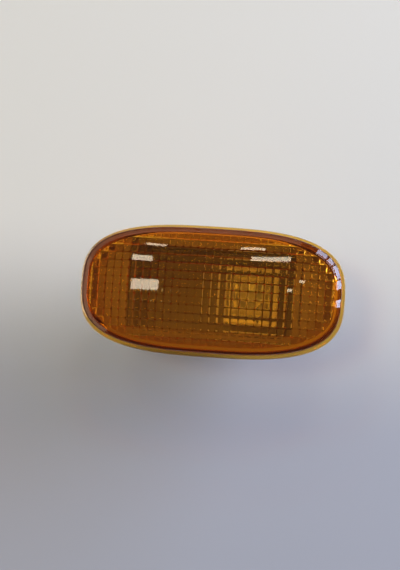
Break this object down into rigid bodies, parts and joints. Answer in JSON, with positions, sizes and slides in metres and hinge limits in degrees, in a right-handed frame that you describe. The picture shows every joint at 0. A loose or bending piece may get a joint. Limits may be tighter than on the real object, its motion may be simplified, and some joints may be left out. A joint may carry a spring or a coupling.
{
  "type": "side repeater lamp",
  "caption": "Oval amber side indicator lamp with a pillowed domed lens, a clip-in housing, a foam gasket and a rear bulb holder with a connector inlet.",
  "frame": {"origin": "middle of the panel opening, on the outer face of the panel and the rear face of the gasket", "axes": "+X along the lamp towards its bulb, +Y across it, +Z out of the panel through the lens"},
  "size_m": [0.104, 0.0516, 0.0558],
  "materials": {
    "lens": "clear moulded amber acrylic, polished outside, pillowed inside",
    "housing": "moulded dark grey, fine satin",
    "gasket": "closed-cell foam, matt",
    "spring_steel": "rolled strip, satin",
    "bulb_holder": "natural nylon, satin",
    "holder_seal": "moulded, matt",
    "contacts": "pressed strip, satin",
    "bulb_glass": "clear, blown",
    "filament": "drawn tungsten coil",
    "bulb_leads": "plated drawn wire"
  },
  "bodies": {
    "root": {"lens": "lens", "housing": "housing", "mounting_gasket": "gasket", "spring_clip": "spring_steel", "bulb_holder": "bulb_holder", "holder_seal": "holder_seal", "contact_upper": "contacts", "contact_lower": "contacts", "bulb_glass": "bulb_glass", "bulb_filament": "filament", "bulb_lead_upper": "bulb_leads", "bulb_lead_lower": "bulb_leads"}
  },
  "joints": []
}
